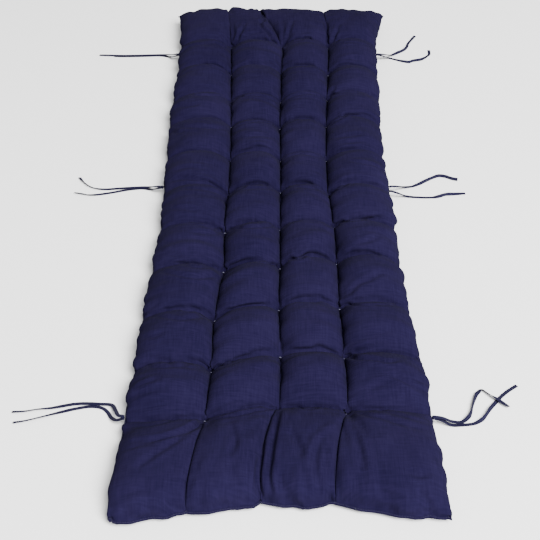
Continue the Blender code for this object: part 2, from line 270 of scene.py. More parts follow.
# cushion cover, and the tufting net from head to foot: left edge, three tufts, right edge
cover = {
    "tuftNet": (
        ((-0.302, 0.950), (-0.155, 0.940), (-0.068, 0.940), (0.127, 0.922), (0.303, 0.942)),
        ((-0.280, 0.755), (-0.140, 0.754), (0.003, 0.753), (0.137, 0.749), (0.270, 0.750)),
        ((-0.277, 0.606), (-0.135, 0.604), (0.003, 0.605), (0.132, 0.593), (0.264, 0.596)),
        ((-0.282, 0.455), (-0.130, 0.456), (0.002, 0.452), (0.125, 0.455), (0.259, 0.450)),
        ((-0.281, 0.322), (-0.126, 0.327), (0.000, 0.317), (0.119, 0.324), (0.254, 0.320)),
        ((-0.276, 0.165), (-0.121, 0.165), (0.002, 0.163), (0.114, 0.161), (0.252, 0.160)),
        ((-0.272, 0.015), (-0.122, 0.015), (0.002, 0.026), (0.114, 0.011), (0.258, 0.014)),
        ((-0.268, -0.138), (-0.125, -0.136), (0.001, -0.125), (0.122, -0.120), (0.258, -0.125)),
        ((-0.276, -0.284), (-0.121, -0.283), (0.001, -0.270), (0.125, -0.253), (0.261, -0.262)),
        ((-0.282, -0.440), (-0.134, -0.444), (-0.001, -0.409), (0.125, -0.410), (0.268, -0.415)),
        ((-0.283, -0.592), (-0.133, -0.591), (0.002, -0.554), (0.129, -0.556), (0.277, -0.565)),
        ((-0.289, -0.735), (-0.139, -0.732), (-0.001, -0.699), (0.128, -0.707), (0.285, -0.716)),
        ((-0.297, -0.954), (-0.163, -0.932), (-0.030, -0.914), (0.098, -0.916), (0.2955, -0.954)),
    ),
    # how deep the cover dips on each row of tufts, a share of the crown for each panel
    "rowCrease": (
        (0.26, 0.34, 0.40, 0.36), (0.34, 0.54, 0.54, 0.38), (0.38, 0.56, 0.54, 0.40),
        (0.34, 0.56, 0.50, 0.36), (0.30, 0.44, 0.56, 0.36), (0.28, 0.50, 0.50, 0.34),
        (0.42, 0.60, 0.58, 0.56), (0.46, 0.52, 0.52, 0.44), (0.40, 0.54, 0.54, 0.58),
        (0.46, 0.69, 0.63, 0.70), (0.80, 0.76, 0.92, 0.80),
    ),
    # how gently the cover comes up from each row of tufts, from 0 to 1
    "rowSoftness": (0.60, 0.70, 0.70, 0.70, 0.65, 0.65, 0.65, 0.65, 0.75, 0.95, 1.00),
    # the height of each row of cells, from head to foot
    "cellCrown": (0.080, 0.079, 0.080, 0.080, 0.079, 0.080, 0.080, 0.080, 0.080, 0.079, 0.076, 0.070),
    # steps of the grid, and the width and height of the rolls that it is spaced for
    "panelSteps": 20, "cellSteps": 17, "endSteps": 26,
    "rollSize": (0.14, 0.045), "cellSize": (0.146, 0.022), "endSize": (0.19, 0.045),
    "seam": 0.022, "headSeam": 0.038, "footSeam": 0.015,
    "tuftTop": 0.026, "valleyRise": 0.012,
    # how far the three valleys rise towards the crown beyond the first and the last tufts
    "headValley": (1.0, 0.80, 0.99), "footValley": (0.84, 0.78, 0.88),
    # how far each line of the net bends sideways on its way to the foot edge
    "footBow": (0.0, -0.002, -0.012, -0.005, 0.0),
    "rollPower": 2.1, "endRollPower": 3.4, "rollRoot": 0.45,
    "overhang": 0.0065, "overhangRise": 0.012, "overhangReach": 0.12,
    "cellPower": (3.0, 1.9), "cellRoot": (0.55, 1.0), "endPower": 3.0,
    "tuftCrease": 0.85, "tuftReach": 0.16,
    "sideScallop": 0.003, "headDrawIn": 0.003, "footSpread": 0.0015, "sideFade": 5,
    "endScallop": 0.009, "endFade": 15, "endRound": 0.7,
    "crownSpread": (0.002, -1.0, 0.6),
    "underTuft": 0.013, "underRise": 0.003, "underRoll": 2.6, "underEnd": 3.4, "underRoot": 0.55,
    "underFlatFrom": 0.55,
}
# the filling step: extra cloth as shares of the length and width, and the Cloth settings
filling = {
    "slackInner": 0.03, "slackEdge": 0.12, "slackAcross": 0.02, "slackEnds": 0.07,
    "edgePower": 3, "endPower": 12, "unevenness": 0.0016, "rippleBlur": 12, "valleyPin": 0.7,
    "frames": 22, "cap": 0.006,
    "cloth": {"quality": 5, "mass": 0.002, "time_scale": 2.0, "pin_stiffness": 20, "air_damping": 0,
              "tension_stiffness": 15, "compression_stiffness": 15, "shear_stiffness": 5,
              "bending_stiffness": 0.5, "tension_damping": 0, "compression_damping": 0,
              "shear_damping": 0, "use_pressure": True, "uniform_pressure_force": 3.0},
}
net = cover["tuftNet"]
lastRow = len(net) - 1
panels = len(net[0]) - 1


def roundness(share, power, root):
    return (1.0 - min(1.0, abs(2.0 * share - 1.0)) ** power) ** root


def evenSteps(size, power, root, count, half=False, fine=400):
    # shares of a roll's width that are equally far apart along its curve
    width, height = size
    shares = [k / fine for k in range(fine + 1)]
    heights = [height * roundness(f / 2 if half else f, power, root) for f in shares]
    run = [0.0]
    for k in range(fine):
        run.append(run[-1] + math.hypot(width / fine, heights[k + 1] - heights[k]))
    steps = np.interp([run[-1] * k / count for k in range(count)], run, shares)
    return [float(f) for f in steps]


def coverStations():
    across = [p + f for p in range(panels)
              for f in evenSteps(cover["rollSize"], cover["rollPower"], cover["rollRoot"],
                                 cover["panelSteps"])]
    head = evenSteps(cover["endSize"], cover["endPower"], cover["rollRoot"], cover["endSteps"], half=True)
    along = list(head)
    cell = evenSteps(cover["cellSize"], cover["cellPower"][0], cover["cellRoot"][0], cover["cellSteps"])
    for row in range(1, lastRow - 1):
        along += [row + f for f in cell]
    along += [lastRow - 1] + [lastRow - f for f in reversed(head[1:])]
    return across + [panels], along + [lastRow]


crownSpread, least, most = cover["crownSpread"]
cellCrown = [[crown + crownSpread * dice.uniform(least, most) for p in range(panels)]
             for crown in cover["cellCrown"]]


def netPlace(s, t):
    p = min(int(s), panels - 1)
    f = s - p
    left = spline([row[p] for row in net], t)
    right = spline([row[p + 1] for row in net], t)
    bow = math.sin(math.pi * max(0.0, t - lastRow + 1.0))
    bow *= cover["footBow"][p] * (1.0 - f) + cover["footBow"][p + 1] * f
    x = left[0] + (right[0] - left[0]) * f + bow
    y = left[1] + (right[1] - left[1]) * f
    side = 2.0 * s / panels - 1.0
    scallop = cover["sideScallop"]
    if t < 1.0:
        scallop = -cover["headDrawIn"]
    elif t > lastRow - 1:
        scallop = cover["footSpread"]
    x += scallop * side ** cover["sideFade"] * math.sin(math.pi * (t % 1.0))
    end = (1.0 - 2.0 * t / lastRow) ** cover["endFade"]
    y += cover["endScallop"] * end * math.sin(math.pi * f) ** cover["endRound"]
    return x, y


def seamHeight(t):
    if t < 1.0:
        return cover["seam"] + (cover["headSeam"] - cover["seam"]) * (1.0 - t) ** 2
    if t > lastRow - 1:
        return cover["seam"] + (cover["footSeam"] - cover["seam"]) * (t - lastRow + 1) ** 2
    return cover["seam"]


def valleyHeight(line, t):
    seam = seamHeight(t)
    if line in (0, panels):
        return seam
    row = min(int(t), lastRow - 1)
    f = t - row
    tuft = cover["tuftTop"]
    if row in (0, lastRow - 1):
        f = f if row == 0 else 1.0 - f
        rise = cover["headValley" if row == 0 else "footValley"][line - 1]
        rise *= roundness(f / 2.0, cover["endPower"], cover["rollRoot"]) * (1.0 - f ** 3)
        return seam + (tuft - seam) * f + (cover["cellCrown"][row] - tuft) * rise
    return tuft + cover["valleyRise"] * (1.0 - (2.0 * f - 1.0) ** 2)


def rowDip(p, t, fromTuft):
    # 1 in the middle of a cell, less towards each row of tufts, least beside a tuft
    row = min(int(t), lastRow - 1)
    g = t - row
    if row == 0 or (row < lastRow - 1 and g > 0.5):
        nearRow, g = row + 1, 1.0 - g
    else:
        nearRow = row
    soft = cover["rowSoftness"][nearRow - 1]
    power, root = (a + (b - a) * soft for a, b in (cover["cellPower"], cover["cellRoot"]))
    crease = cover["rowCrease"][nearRow - 1][p]
    crease += (cover["tuftCrease"] - crease) * math.exp(-(fromTuft / cover["tuftReach"]) ** 2)
    return 1.0 - crease * (1.0 - roundness(min(0.5, g), power, root))


def coverHeight(s, t):
    p = min(int(s), panels - 1)
    f = s - p
    fromTuft = f if p == panels - 1 else 1.0 - f if p == 0 else min(f, 1.0 - f)
    fromEnd = min(1.0, t, lastRow - t)
    power = cover["rollPower"] + (cover["endRollPower"] - cover["rollPower"]) * (1.0 - fromEnd ** 2)
    full = rowDip(p, t, fromTuft) * roundness(f, power, cover["rollRoot"])
    if fromEnd < 1.0:
        full *= roundness(fromEnd / 2.0, cover["endPower"], cover["rollRoot"])
    ease = f * f * (3.0 - 2.0 * f)
    low = valleyHeight(p, t) * (1.0 - ease) + valleyHeight(p + 1, t) * ease
    return low + (cellCrown[min(int(t), lastRow - 1)][p] - low) * full


def gridFaces(rows, cols, first=0, flip=False):
    faces = []
    for j in range(rows - 1):
        for i in range(cols - 1):
            a = first + j * cols + i
            face = (a, a + cols, a + cols + 1, a + 1)
            faces.append(face[::-1] if flip else face)
    return faces


def coverPoint(s, t):
    # the outer rolls bulge over the welt
    x, y = netPlace(s, t)
    fromSide = min(s, panels - s)
    if fromSide < 1.0:
        bulge = cover["overhang"] * (1.0 - math.exp(-fromSide / cover["overhangRise"]))
        bulge *= math.exp(-fromSide / cover["overhangReach"])
        x += math.copysign(bulge, s - panels / 2.0)
    return x, y, coverHeight(s, t)


across, along = coverStations()
rows, cols = len(along), len(across)
sheet = np.array([[coverPoint(s, t) for s in across] for t in along])
report("cover laid out, %d x %d points" % (rows, cols))


def blur(values, axis, rounds):
    for k in range(rounds):
        padded = np.concatenate([values.take([0], axis), values, values.take([-1], axis)], axis)
        count = values.shape[axis]
        values = (padded.take(range(count), axis) + 2.0 * values
                  + padded.take(range(2, count + 2), axis)) / 4.0
    return values


def gridNormals(grid):
    return unit(np.cross(np.gradient(grid, axis=0), np.gradient(grid, axis=1)))


def unevenSheet(sheet):
    # small ripples to start from: across in the rows, lengthwise at the two ends
    noise = np.random.default_rng(5)
    wide = blur(blur(noise.normal(size=(rows, cols, 1)), 1, filling["rippleBlur"]), 0, 1)
    long = blur(blur(noise.normal(size=(rows, cols, 1)), 0, filling["rippleBlur"]), 1, 1)
    t = np.array(along)[:, None, None]
    ends = np.clip(np.maximum(1.0 - t, t - lastRow + 1.0), 0.0, 1.0) ** 0.5
    ripple = wide / wide.std() * (1.0 - ends) + long / long.std() * ends
    ripple[[0, -1]] = 0.0
    ripple[:, ::cover["panelSteps"]] = 0.0
    return sheet + gridNormals(sheet) * ripple * filling["unevenness"]


def inflate(sheet):
    start = unevenSheet(sheet)
    obj = meshObject("coverSim", start.reshape(-1, 3), gridFaces(rows, cols))
    s = np.array(across)[None, :]
    t = np.array(along)[:, None]
    edge = np.abs(2.0 * s / panels - 1.0) ** filling["edgePower"]
    ends = np.abs(2.0 * t / lastRow - 1.0) ** filling["endPower"]
    rest = sheet.copy()
    rest[..., 1] *= 1.0 + filling["slackInner"] + (filling["slackEdge"] - filling["slackInner"]) * edge
    rest[..., 0] *= 1.0 + filling["slackAcross"] + (filling["slackEnds"] - filling["slackAcross"]) * ends
    obj.shape_key_add(name="Basis")
    cut = obj.shape_key_add(name="cut")
    cut.data.foreach_set("co", rest.reshape(-1))
    cut.value = 0.0
    pins = obj.vertex_groups.new(name="pins")
    for j, i in np.ndindex(rows, cols):
        onEdge = i in (0, cols - 1) or j in (0, rows - 1)
        onLine = i % cover["panelSteps"] == 0
        onRow = abs(along[j] - round(along[j])) < 1e-6
        weight = 1.0 if onEdge or (onLine and onRow) else filling["valleyPin"] if onLine else 0.0
        if weight:
            pins.add([j * cols + i], weight, "REPLACE")
    cloth = obj.modifiers.new("Inflate", "CLOTH")
    for setting, value in filling["cloth"].items():
        setattr(cloth.settings, setting, value)
    cloth.settings.vertex_group_mass = "pins"
    cloth.settings.rest_shape_key = cut
    cloth.settings.effector_weights.gravity = 0
    cloth.collision_settings.use_collision = False
    cloth.collision_settings.use_self_collision = False
    cloth.point_cache.frame_start = 1
    cloth.point_cache.frame_end = filling["frames"]
    scene = bpy.context.scene
    for number in range(1, filling["frames"] + 1):
        scene.frame_set(number)
    found = np.empty(rows * cols * 3)
    shown = obj.evaluated_get(bpy.context.evaluated_depsgraph_get())
    shown.data.vertices.foreach_get("co", found)
    scene.frame_set(1)
    data = obj.data
    bpy.data.objects.remove(obj)
    bpy.data.meshes.remove(data)
    move = found.reshape(rows, cols, 3) - sheet
    size = np.linalg.norm(move, axis=2, keepdims=True)
    print("filling moved the cover by %.2f mm, at most %.2f mm" % (1000 * size.mean(), 1000 * size.max()))
    return sheet + move * np.minimum(1.0, filling["cap"] / np.maximum(size, 1e-9))


sheet = inflate(sheet)
report("cover filled")


def between(grid):
    # a point halfway between each two, on a smooth curve through the rows
    a = np.concatenate([2 * grid[:1] - grid[1:2], grid, 2 * grid[-1:] - grid[-2:-1]])
    mid = (9.0 * (a[1:-2] + a[2:-1]) - a[:-3] - a[3:]) / 16.0
    out = np.empty((2 * len(grid) - 1,) + grid.shape[1:])
    out[0::2] = grid
    out[1::2] = mid
    return out


def refine(grid):
    return between(between(grid).swapaxes(0, 1)).swapaxes(0, 1)


# folds: how deep and how wide each kind is, and the shape that they share, in fold widths
foldKinds = {
    "soft": {"depth": 0.0050, "width": 0.0052},
    "sharp": {"depth": 0.0085, "width": 0.0046},
    "deep": {"depth": 0.0115, "width": 0.0048},
    "cleft": {"depth": 0.0120, "width": 0.0046},
    "ridge": {"depth": -0.0030, "width": 0.0065},
}
foldShape = {"power": 1.5, "shoulder": 0.34, "shoulderAt": 2.2, "shoulderWidth": 0.9, "reach": 4.0,
             "deepest": 0.016, "samplePixels": 1.0, "fewestSamples": 4}
# fold lines, by their kind and where they die out (away from the tuft, at both ends or nowhere):
# the x and y of each point that it runs through, in pixels of the photo, from the foot to the head
foldLines = {
    ("sharp", "tuft"): (
        (210, 369, 205, 364, 195, 359.5, 183, 358),
        (212.5, 369, 230, 363, 245, 357, 265, 352.5, 279, 353),
        (345, 356.5, 360, 358, 375, 359, 390, 361, 401, 359),
        (202.5, 422, 187.5, 429, 170, 435.5, 155, 439, 135, 441, 124.5, 445),
        (205, 419.5, 217.5, 412.5, 230, 406.5, 239.5, 403),
        (277.5, 408, 257.5, 410, 240, 414, 225, 417, 207.5, 421),
        (259, 496, 257.5, 482.5, 258, 467.5, 261, 454),
        (227, 194.5, 218, 188, 207.5, 182, 192, 178, 175, 177),
        (223.5, 231.5, 214, 230.5, 205, 226, 192, 223.5, 177, 225, 166.5, 229.5),
        (279, 266.5, 269, 264, 258, 262), (339, 306, 329.5, 302, 318.5, 300),
        (343.5, 306, 356.5, 305, 369.5, 304.5, 382.5, 304.5, 397.5, 305.5, 410, 312.5),
        (231, 47, 227, 42, 222.5, 36.5, 218.5, 32.5), (233.5, 47, 237.5, 39, 241, 31, 246, 21.5),
        (283.5, 47, 286, 39, 289.5, 29.5, 293, 19.5), (329.5, 46.5, 333, 40.5, 336, 32.5, 339.5, 23),
        (329, 73, 336, 68.5, 343.5, 64.5, 353, 64),
        (229.5, 101, 224, 98, 216.5, 95.5, 202.5, 95, 188.5, 94),
        (329.5, 98, 337.5, 93.5, 347, 91.5, 361, 93.5), (328.5, 96.5, 331.5, 91.5, 335.5, 86.5),
    ),
    ("soft", "tuft"): (
        (209, 370, 200, 363, 177.5, 364.5, 161, 360, 142.5, 359),
        (346, 354.5, 365, 349.5, 382.5, 344.5, 402.5, 342.5),
        (202.5, 419.5, 191, 417.5, 170, 421, 145, 425.5, 124.5, 424),
        (200, 425.5, 182.5, 435.5, 165, 447.5, 149, 458, 135, 469),
        (348, 409, 362.5, 401.5, 380, 399, 399, 394.5),
        (349, 411, 365, 414.5, 382.5, 417.5, 402.5, 424, 425, 430.5),
        (349, 410, 365, 409.5, 385, 411, 410, 417.5, 431, 422.5), (347, 412, 350.5, 420, 355, 429),
        (350, 413, 360, 424, 366, 435), (224.5, 196, 214, 191.5, 196.5, 188.5, 179, 188.5),
        (330, 194, 341.5, 188, 350, 182, 361, 179.5, 376, 180),
        (222.5, 230, 211.5, 223.5, 201, 220, 179, 219.5, 164, 219.5),
        (221.5, 270.5, 211.5, 267, 196.5, 267, 181.5, 263.5, 166, 262.5, 154.5, 268.5),
        (337, 261.5, 348, 255.5, 365, 252, 378, 255, 395.5, 262.5),
        (232, 47.5, 233, 40.5, 233.5, 31, 232, 18.5), (231.5, 46.5, 229.5, 40.5, 228, 34.5),
        (234, 47.5, 238.5, 42, 244.5, 37.5, 252, 33.5, 260, 32.5),
        (282.5, 47, 283, 39, 283.5, 29.5, 281.5, 18.5), (285, 46, 289, 38, 292.5, 32),
        (327.5, 47, 327.5, 39, 326, 28, 323.5, 17.5), (330.5, 47, 337.5, 41, 343.5, 36.5, 349, 34),
        (230.5, 50, 224, 46.5, 216.5, 43, 210, 42),
        (229.5, 74, 222.5, 70, 213, 66, 202.5, 63.5, 185, 63.5),
        (228, 157, 216.5, 148, 208.5, 147, 196, 145, 182, 141.5),
        (328, 157.5, 336, 153, 348.5, 150, 359.5, 147.5, 368.5, 142),
    ),
    ("soft", "both"): (
        (141, 364.5, 157.5, 367, 177.5, 366, 195, 368), (250, 352, 262.5, 350, 275, 352),
        (392.5, 372.5, 410, 379.5, 429, 381.5), (405, 356.5, 420, 365, 428, 372.5),
        (367.5, 389, 385, 382.5, 397.5, 383), (132.5, 389, 145, 382.5, 160.5, 377),
        (131, 396, 147.5, 390.5, 167.5, 388), (130, 408, 150, 406.5, 170, 400.5),
        (121, 450, 137.5, 445, 155, 442), (235, 410, 255, 406, 270, 405), (310, 406, 321, 402, 334, 402),
        (321, 435, 316, 450, 315, 467.5, 317.5, 485), (289, 431, 297, 442, 301.5, 456),
        (280.5, 471, 280, 481, 282.5, 490), (355, 430, 360, 450, 364, 470),
        (375, 490, 390, 495, 405, 497.5), (231, 425, 235, 440, 230, 455),
        (407.5, 470, 420, 475, 431, 470), (417.5, 490, 425, 499, 430, 507.5),
        (230, 195, 239.5, 189, 250.5, 184, 261.5, 183.5, 270, 187, 279, 191.5),
        (244, 188.5, 257, 187.5, 270, 188.5),
        (283, 191.5, 289.5, 186, 298, 183, 309, 183.5, 319.5, 189, 326.5, 194),
        (294, 186, 309, 187.5, 317.5, 189.5), (332.5, 190, 343.5, 182.5, 356.5, 177),
        (221.5, 233.5, 203, 232.5, 192, 231.5), (170.5, 208.5, 183.5, 207.5, 198.5, 210.5),
        (231, 226, 244, 221.5, 259, 221.5), (283, 227.5, 294, 221.5, 309, 221, 321, 223, 331.5, 226.5),
        (183.5, 249.5, 196.5, 255, 209.5, 261.5, 219, 269.5), (159.5, 250.5, 175, 255, 192, 255.5),
        (354.5, 244, 367.5, 240.5, 380.5, 235.5), (348, 295, 358.5, 283.5, 369.5, 279, 384.5, 271),
        (210, 317.5, 196.5, 317, 181.5, 319, 164, 316.5, 150, 315.5),
        (203, 313.5, 181.5, 310.5, 161, 309.5), (231, 305, 248.5, 299.5, 262.5, 298),
        (227, 302, 239.5, 298, 252.5, 296), (345.5, 304.5, 358.5, 300, 376, 298.5, 395.5, 303),
        (142.5, 336, 153, 335.5, 165, 330.5), (352, 340.5, 369.5, 335.5, 393, 329),
        (244.5, 64.5, 252, 61.5, 261.5, 61), (339, 60, 350, 58.5, 361, 59.5),
        (183.5, 90, 196, 89, 205.5, 89.5, 218, 90.5), (174.5, 106, 188.5, 105.5, 200, 103),
        (368, 94, 374, 97, 378, 101), (185, 120.5, 196, 119.5, 211.5, 123),
        (178, 127.5, 193, 126.5, 208.5, 127.5, 227, 128.5),
        (281.5, 125.5, 289.5, 121.5, 297, 119, 308, 119, 317.5, 123, 325.5, 127.5),
        (169.5, 131.5, 177.5, 132, 185, 131), (246, 137, 258, 135, 270.5, 137),
        (340.5, 142.5, 354.5, 141.5, 367, 140.5), (336, 137, 351.5, 135, 364, 133.5),
        (168, 180.5, 185, 178, 200.5, 178.5, 213, 183.5), (174.5, 169.5, 188.5, 166.5, 204, 168),
    ),
    ("sharp", "both"): (
        (280.5, 353, 295, 350, 312.5, 349.5, 317.5, 347, 325, 349.5, 335, 354, 343, 355.5),
        (386, 374.5, 400, 378, 412.5, 385, 427.5, 391),
        (281, 408, 295, 408, 310, 409, 321, 407.5, 332.5, 409, 345, 410),
        (279, 411, 276, 425, 273, 440, 270.5, 457.5, 268.5, 475, 271.5, 495),
        (227, 231.5, 237.5, 228, 248.5, 227, 261.5, 226.5, 272, 225.5, 279.5, 229),
        (218, 274.5, 207.5, 276.5, 194.5, 276.5, 175, 273.5, 159.5, 271),
        (216, 316, 227, 311, 237.5, 308, 248.5, 305, 261.5, 304.5, 278.5, 306),
        (279.5, 47.5, 274, 40.5, 269, 33, 264.5, 28),
        (284.5, 47, 290, 42.5, 297, 40.5, 305, 39, 312.5, 39.5, 319, 42, 326.5, 47.5),
        (181.5, 52, 187, 47.5, 194.5, 45, 204.5, 44),
        (233.5, 72.5, 239.5, 67, 249, 64, 258, 64.5, 270.5, 65, 279, 70.5),
        (283, 72, 289.5, 67, 300, 65.5, 311, 66, 320.5, 70, 326.5, 74.5),
        (233.5, 100.5, 242.5, 96.5, 255, 95, 266, 97, 279, 102),
        (282.5, 101.5, 289.5, 97.5, 298.5, 94, 311, 93, 320.5, 96.5, 327, 100),
        (234, 127.5, 242.5, 123.5, 252, 122, 261.5, 121.5, 272, 124.5, 278, 127.5),
        (233.5, 157.5, 239.5, 153, 249, 150, 258, 147.5, 266, 148.5, 274, 154, 279.5, 160),
        (283, 159, 291, 155.5, 300, 154, 309.5, 154.5, 320.5, 157, 326, 160),
        (350, 160, 364, 162.5, 375, 165.5, 383.5, 171),
    ),
    ("ridge", "both"): (
        (335, 422.5, 320, 433, 310.5, 447.5, 307, 461, 309.5, 475, 311.5, 485, 308, 497.5),
        (339, 428, 332, 447.5, 329, 470, 324.5, 495), (360, 429, 366, 449, 370.5, 470, 375, 491),
        (245, 475, 246, 487.5, 245, 499), (115, 510, 135, 499, 155, 497.5),
        (361, 217.5, 369.5, 214, 380.5, 212), (248.5, 258, 259, 260.5, 268, 261.5),
        (311, 299.5, 321, 302.5, 328.5, 304.5), (252, 117, 260, 116, 267.5, 118),
        (249, 145.5, 258, 143.5, 267.5, 145),
    ),
    ("deep", "tuft"): (
        (334.5, 226, 343.5, 223, 356.5, 221, 369.5, 219.5, 380.5, 218, 391, 219.5),
        (224.5, 270, 233, 266, 244, 261.5, 252.5, 260, 262.5, 258.5),
        (212.5, 316.5, 205, 312.5, 196.5, 309, 185.5, 306.5, 172.5, 307.5),
    ),
    ("deep", "both"): (
        (283, 263, 290.5, 260, 301.5, 258, 311, 254, 319.5, 256, 330.5, 260),
        (283, 305, 291.5, 301.5, 300.5, 298.5, 313, 298, 325, 298),
        (329.5, 48.5, 336, 44.5, 347, 42.5, 356, 42.5, 370, 46),
        (328.5, 126.5, 334.5, 121.5, 343.5, 117, 354.5, 115.5, 367, 116, 380, 123.5),
    ),
    ("cleft", "none"): (
        (280.5, 48, 276.5, 45, 272, 39, 267, 32.5, 262.5, 27.5, 260, 22, 263.5, 20, 262.5, 15,
         259.5, 11.5),
    ),
}


def lineOnCover(tree, path):
    # the points of the cover that the camera sees along a line of the photo
    focal = lookAt["lens"] / lookAt["sensor"] * lookAt["photoPixels"]
    middle = lookAt["photoPixels"] / 2.0
    length = sum(math.dist(a, b) for a, b in zip(path, path[1:]))
    count = max(foldShape["fewestSamples"], int(length / foldShape["samplePixels"]))
    turn = camPlace.to_3x3()
    hits = []
    for k in range(count + 1):
        px, py = spline(path, (len(path) - 1) * k / count)
        ray = turn @ Vector(((px - middle) / focal, (middle - py) / focal, -1.0))
        hit = tree.ray_cast(camPlace.translation, ray.normalized())[0]
        if hit is not None:
            hits.append(tuple(hit))
    return np.array(hits)


def foldStrength(fade, share):
    left = {"tuft": 1.0 - share ** 2, "both": np.sin(np.pi * share), "none": np.ones_like(share)}
    return np.sqrt(np.clip(left[fade], 0.0, 1.0))


everyFold = [(kind, fade, list(zip(path[::2], path[1::2])))
             for (kind, fade), paths in foldLines.items() for path in paths]


def pressFolds(grid):
    tree = BVHTree.FromPolygons(grid.reshape(-1, 3).tolist(), gridFaces(*grid.shape[:2]))
    depth = np.zeros(grid.shape[:2])
    for kindName, fade, path in everyFold:
        kind = foldKinds[kindName]
        line = lineOnCover(tree, path)
        if len(line) < 3:
            continue
        reach = foldShape["reach"] * kind["width"]
        near = np.all((grid > line.min(axis=0) - reach) & (grid < line.max(axis=0) + reach), axis=2)
        gaps = np.linalg.norm(grid[near][:, None, :] - line[None, :, :], axis=2)
        closest = gaps.argmin(axis=1)
        gap = gaps.min(axis=1) / kind["width"]
        shoulder = np.exp(-((gap - foldShape["shoulderAt"]) / foldShape["shoulderWidth"]) ** 2)
        profile = np.exp(-gap ** foldShape["power"]) - foldShape["shoulder"] * shoulder
        depth[near] += kind["depth"] * foldStrength(fade, closest / (len(line) - 1)) * profile
    deepest = foldShape["deepest"]
    depth = deepest * np.tanh(depth / deepest)
    depth[[0, -1]] = 0.0
    depth[:, [0, -1]] = 0.0
    return grid - gridNormals(grid) * depth[..., None]


# the pinch: the cover turns in sharply along each row of tufts, less where the row is shallow or soft
rowPinch = {"depth": 0.014, "width": 0.0050, "fullCrease": 0.36, "softest": 1.55, "fade": 0.6}


def pinchRows(grid):
    normals = gridNormals(grid)
    out = grid.copy()
    step = 2 * cover["panelSteps"]
    column = np.arange(grid.shape[1])
    panel = np.minimum(column // step, panels - 1)
    fade = np.abs(np.sin(np.pi * column / step)) ** rowPinch["fade"]
    for row in range(1, lastRow):
        crease = np.array(cover["rowCrease"][row - 1])[panel] / rowPinch["fullCrease"]
        gap = np.linalg.norm(grid - grid[2 * along.index(row)][None], axis=2) / rowPinch["width"]
        firm = rowPinch["softest"] - cover["rowSoftness"][row - 1]
        depth = rowPinch["depth"] * firm * np.minimum(1.0, crease) * fade * np.exp(-gap)
        out -= normals * depth[..., None]
    return out


# puckers: where the gathered cloth meets the welt
puckers = {"spacing": 0.012, "height": 0.0026, "from": 0.010, "fade": 0.022,
           "seamSway": 0.0010, "sideSway": 0.0014, "endSway": 0.0036, "swayShift": 7, "blur": 2}


def puckerLine(line, noise):
    run = runAlong(line)
    knots = np.arange(0.0, run[-1] + 2 * puckers["spacing"], puckers["spacing"])
    return np.interp(run, knots, noise.normal(size=len(knots)))


def puckerEdges(grid):
    noise = np.random.default_rng(9)
    normals = gridNormals(grid)
    out = grid.copy()
    for axis, edge in ((1, 0), (1, -1), (0, 0), (0, -1)):
        line = grid.take(edge, axis)
        wave = blur(puckerLine(line, noise), 0, puckers["blur"])
        sway = blur(puckerLine(line, noise), 0, puckers["blur"])
        fromEdge = np.linalg.norm(grid - np.expand_dims(line, axis), axis=2)
        share = np.clip(fromEdge / puckers["from"], 0.0, 1.0)
        size = puckers["height"] * share
        size = size * np.exp(-np.maximum(0.0, fromEdge - puckers["from"]) / puckers["fade"])
        out += normals * (size * np.expand_dims(wave, axis))[..., None]
        fade = np.exp(-fromEdge / puckers["fade"])
        out[..., 2] += np.expand_dims(sway, axis) * puckers["seamSway"] * fade
        reach = puckers["endSway"] if axis == 0 else puckers["sideSway"]
        shifted = np.roll(sway, puckers["swayShift"])
        out[..., 1 - axis] += np.expand_dims(shifted, axis) * reach * fade
    return out


def keepRollsApart(grid, gap=0.0003, reach=10):
    # the two rolls beside a column of tufts touch but don't pass through each other
    step = 2 * cover["panelSteps"]
    for column in range(step, grid.shape[1] - 1, step):
        wall = grid[:, column, 0]
        for k in range(1, reach + 1):
            grid[:, column - k, 0] = np.minimum(grid[:, column - k, 0], wall - gap * k)
            grid[:, column + k, 0] = np.maximum(grid[:, column + k, 0], wall + gap * k)
    return grid


# dimples: the thread pulls a small cone into the cover at each tuft
dimple = {"slope": 0.60, "curve": 40.0}


def pullTufts(grid):
    for row in range(1, lastRow):
        for column in range(1, panels):
            tuft = grid[2 * along.index(row), 2 * column * cover["panelSteps"]].copy()
            away = np.linalg.norm(grid[..., :2] - tuft[:2], axis=2)
            limit = tuft[2] + dimple["slope"] * away + dimple["curve"] * away ** 2
            grid[..., 2] = np.minimum(grid[..., 2], limit)
    return grid


fine = puckerEdges(pressFolds(pinchRows(refine(sheet))))
fine = keepRollsApart(pullTufts(fine))
report("%d folds pressed" % len(everyFold))

# the welt: rings of points outside the seam, how far out and how much lower than it each lies
welt = {"rings": ((0.0016, 0.0010), (0.0034, 0.0003), (0.0050, 0.0012)), "sideShare": 0.7,
        "thickness": 0.0024, "stitchRing": 1, "stitchPitch": 0.0046, "stitchLength": 0.0032,
        "stitchLift": 0.0003, "threadWidth": 0.0007}


def outward(line, sign):
    # the sideways direction of an edge line, in plan
    run = np.gradient(line, axis=0)
    return unit(np.stack([run[:, 1], -run[:, 0], 0 * run[:, 0]], axis=1)) * sign


def addLip(grid, lip):
    west, east = grid[:, 0], grid[:, -1]
    outW, outE = outward(west, 1), outward(east, -1)
    share = welt["sideShare"]
    left = [west + outW * d * share - [0, 0, drop] for d, drop in reversed(lip)]
    right = [east + outE * d * share - [0, 0, drop] for d, drop in lip]
    wide = np.stack(left + [grid[:, i] for i in range(grid.shape[1])] + right, axis=1)
    north, south = wide[0], wide[-1]
    outN, outS = outward(north, -1), outward(south, 1)
    top = [north + outN * d - [0, 0, drop] for d, drop in reversed(lip)]
    low = [south + outS * d - [0, 0, drop] for d, drop in lip]
    return np.stack(top + list(wide) + low, axis=0)


